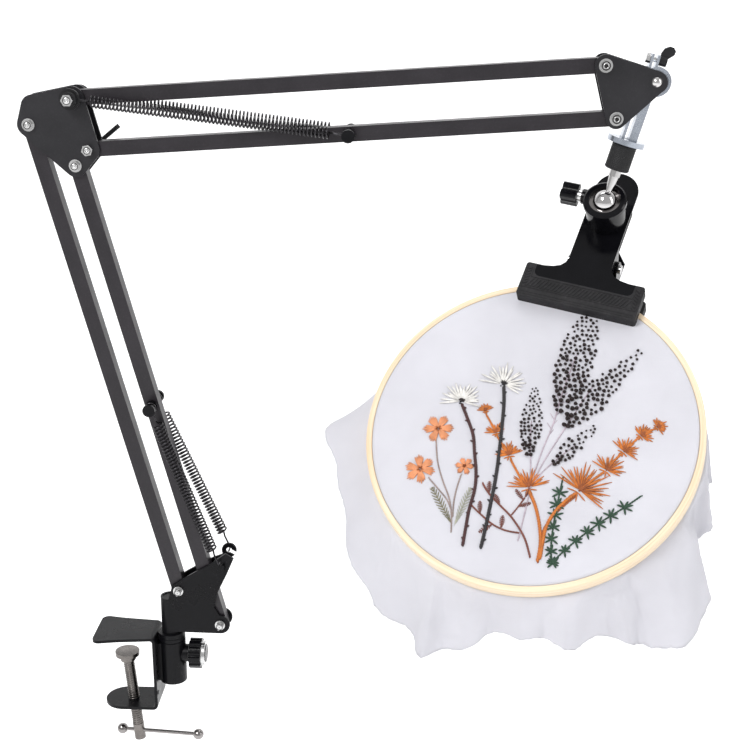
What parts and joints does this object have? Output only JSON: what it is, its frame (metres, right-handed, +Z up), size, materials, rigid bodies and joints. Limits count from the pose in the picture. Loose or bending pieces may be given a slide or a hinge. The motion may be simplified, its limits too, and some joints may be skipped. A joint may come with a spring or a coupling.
{
  "type": "hoop holder",
  "caption": "Desk-clamped spring-balanced arm with a ball head and spring clamp holding a wooden embroidery hoop with worked cotton cloth.",
  "frame": {"origin": "Clamp screw axis where it meets the underside of the desk clamp's top plate, the face that rests on the desk top's upper side.", "axes": "+X points out over the free side, away from the desk, in the plane of the arms at rest; +Y away from the viewer; +Z up."},
  "size_m": [0.4757, 0.2299, 0.5191],
  "materials": {
    "black_paint": "semi-gloss black powder coat",
    "arm_paint": "satin black lacquer with a slight brown-purple cast",
    "zinc": "bright zinc-plated fasteners",
    "blue_zinc": "bluish zinc-plated steel",
    "grey_steel": "bare grey steel",
    "chrome": "polished chrome plate",
    "spring_steel": "blackened spring wire with a light sheen",
    "black_gloss": "glossy black moulded knob",
    "black_plastic": "matte black",
    "pad_rubber": "dark grey ribbed rubber",
    "bamboo": "light clear-lacquered bamboo",
    "brass": "satin brass",
    "cotton": "white plain-weave cotton with hand embroidery"
  },
  "bodies": {
    "desk_clamp": {"clamp_bracket": "black_paint", "post_socket": "black_paint"},
    "clamp_pad": {"clamp_pad": "grey_steel"},
    "clamp_screw": {"clamp_screw": "grey_steel"},
    "tommy_bar": {"tommy_bar": "chrome"},
    "post_knob": {"post_knob_stem": "zinc", "post_knob_grip": "black_gloss"},
    "turntable": {"base_bracket": "black_paint", "base_post": "black_paint", "base_bolts": "zinc", "lower_spring_near": "spring_steel", "lower_spring_far": "spring_steel"},
    "lower_rear": {"lower_bar_rear": "arm_paint"},
    "lower_front": {"lower_bar_front": "arm_paint", "lower_spring_pin": "black_paint"},
    "elbow": {"elbow_plate_near": "black_paint", "elbow_plate_far": "black_paint", "elbow_bolts": "zinc", "elbow_spring_bolt": "zinc", "elbow_sleeves": "black_plastic", "upper_spring_near": "spring_steel", "upper_spring_far": "spring_steel"},
    "elbow_wing": {"elbow_wing_nut": "black_plastic"},
    "upper_top": {"upper_bar_top": "arm_paint"},
    "upper_bottom": {"upper_bar_bottom": "arm_paint", "upper_spring_pin": "black_paint"},
    "head": {"head_plate_near": "black_paint", "head_plate_far": "black_paint", "head_bolts": "zinc", "nose_bolt": "chrome"},
    "yoke": {"yoke_strap": "blue_zinc", "yoke_disc": "blue_zinc"},
    "yoke_wing": {"wing_screw": "zinc", "wing_grip": "black_plastic"},
    "stud": {"adapter": "black_plastic", "ball_stud": "chrome"},
    "seat": {"ball_seat": "chrome"},
    "gripper": {"ball_socket": "black_paint", "socket_ring": "black_paint", "socket_screw": "zinc", "front_jaw": "black_paint", "front_pad": "pad_rubber", "jaw_pin": "zinc", "jaw_spring": "spring_steel"},
    "ball_knob": {"ball_knob_stem": "zinc", "ball_knob_grip": "black_gloss"},
    "rear_jaw": {"rear_jaw": "black_paint", "rear_pad": "pad_rubber"},
    "hoop": {"hoop_outer_ring": "bamboo", "hoop_inner_ring": "bamboo", "hoop_lugs": "brass", "cloth_face": "cotton", "cloth_skirt": "cotton"},
    "hoop_screw": {"hoop_screw": "brass"}
  },
  "joints": [
    {"name": "screw_turn", "type": "hinge", "parent": "clamp_pad", "child": "clamp_screw", "pos_m": [0.0011, 0, -0.0561], "axis": [-0.0872, 0, 0.9962], "range_deg": [-8064, 3744]},
    {"name": "pad_slide", "type": "slide", "parent": "desk_clamp", "child": "clamp_pad", "axis": [-0.0872, 0, 0.9962], "range_m": [-0.02801, 0.01301]},
    {"name": "tommy_slide", "type": "slide", "parent": "clamp_screw", "child": "tommy_bar", "axis": [0.9707, -0.225, 0.0849], "range_m": [-0.0405, 0.0055]},
    {"name": "post_knob_turn", "type": "hinge", "parent": "desk_clamp", "child": "post_knob", "pos_m": [0.05, 0, -0.0165], "axis": [1, 0, 0], "continuous": true},
    {"name": "turntable_turn", "type": "hinge", "parent": "desk_clamp", "child": "turntable", "pos_m": [0.0322, 0, 0], "axis": [0, 0, 1], "continuous": true},
    {"name": "lower_lift", "type": "hinge", "parent": "turntable", "child": "lower_rear", "pos_m": [0.04, 0, 0.038], "axis": [0, -1, 0], "range_deg": [-75, 15], "deforming": ["lower_spring_near", "lower_spring_far"]},
    {"name": "lower_front_turn", "type": "hinge", "parent": "turntable", "child": "lower_front", "pos_m": [0.07, 0, 0.011], "axis": [0, -1, 0], "range_deg": [-75, 15]},
    {"name": "elbow_level", "type": "hinge", "parent": "lower_rear", "child": "elbow", "pos_m": [-0.04615, 0, 0.37723], "axis": [0, -1, 0], "range_deg": [-15, 75]},
    {"name": "elbow_wing_turn", "type": "hinge", "parent": "elbow", "child": "elbow_wing", "pos_m": [-0.00715, 0.0115, 0.36073], "axis": [0, 1, 0], "continuous": true},
    {"name": "upper_lift", "type": "hinge", "parent": "elbow", "child": "upper_top", "pos_m": [-0.01565, 0, 0.39473], "axis": [0, -1, 0], "range_deg": [-50, 38], "deforming": ["upper_spring_near", "upper_spring_far"]},
    {"name": "upper_bottom_turn", "type": "hinge", "parent": "elbow", "child": "upper_bottom", "pos_m": [-0.00715, 0, 0.36073], "axis": [0, -1, 0], "range_deg": [-50, 38]},
    {"name": "head_level", "type": "hinge", "parent": "upper_top", "child": "head", "pos_m": [0.33362, 0, 0.41732], "axis": [0, -1, 0], "range_deg": [-38, 50]},
    {"name": "yoke_tilt", "type": "hinge", "parent": "head", "child": "yoke", "pos_m": [0.36702, 0, 0.40682], "axis": [0, -1, 0], "range_deg": [0, 30]},
    {"name": "yoke_wing_turn", "type": "hinge", "parent": "yoke", "child": "yoke_wing", "pos_m": [0.36616, 0, 0.4206], "axis": [0.9703, 0, -0.2419], "range_deg": [-100, 100]},
    {"name": "stud_turn", "type": "hinge", "parent": "yoke", "child": "stud", "pos_m": [0.35012, 0, 0.36782], "axis": [0.2832, 0, 0.9591], "continuous": true},
    {"name": "ball_tilt", "type": "hinge", "parent": "stud", "child": "seat", "pos_m": [0.33822, 0, 0.32754], "axis": [-0.8554, 0.4522, 0.2526], "range_deg": [-5, 95]},
    {"name": "ball_spin", "type": "hinge", "parent": "seat", "child": "gripper", "pos_m": [0.33822, 0, 0.32754], "axis": [-0.1604, -0.695, 0.7009], "continuous": true},
    {"name": "ball_knob_turn", "type": "hinge", "parent": "gripper", "child": "ball_knob", "pos_m": [0.32232, 0.01456, 0.32906], "axis": [0.9299, -0.3445, -0.1288], "continuous": true},
    {"name": "jaw_open", "type": "hinge", "parent": "gripper", "child": "rear_jaw", "pos_m": [0.33403, 0.00512, 0.28357], "axis": [0.9299, -0.3445, -0.1288], "range_deg": [0, 16], "stiffness_Nm_per_rad": 1.5, "springref_deg": -34.38, "deforming": ["jaw_spring"]},
    {"name": "hoop_slide", "type": "slide", "parent": "gripper", "child": "hoop", "axis": [-0.331, -0.6311, -0.7015], "range_m": [0, 0.03]},
    {"name": "hoop_screw_turn", "type": "hinge", "parent": "hoop", "child": "hoop_screw", "pos_m": [0.32844, -0.00555, 0.27171], "axis": [0.9299, -0.3445, -0.1288], "continuous": true}
  ],
  "couplings": [
    {"joint": "pad_slide", "follows": "screw_turn", "m_per_rad": 0.00019894},
    {"joint": "lower_front_turn", "follows": "lower_lift", "ratio": 1},
    {"joint": "elbow_level", "follows": "lower_lift", "ratio": -1},
    {"joint": "upper_bottom_turn", "follows": "upper_lift", "ratio": 1},
    {"joint": "head_level", "follows": "upper_lift", "ratio": -1}
  ]
}
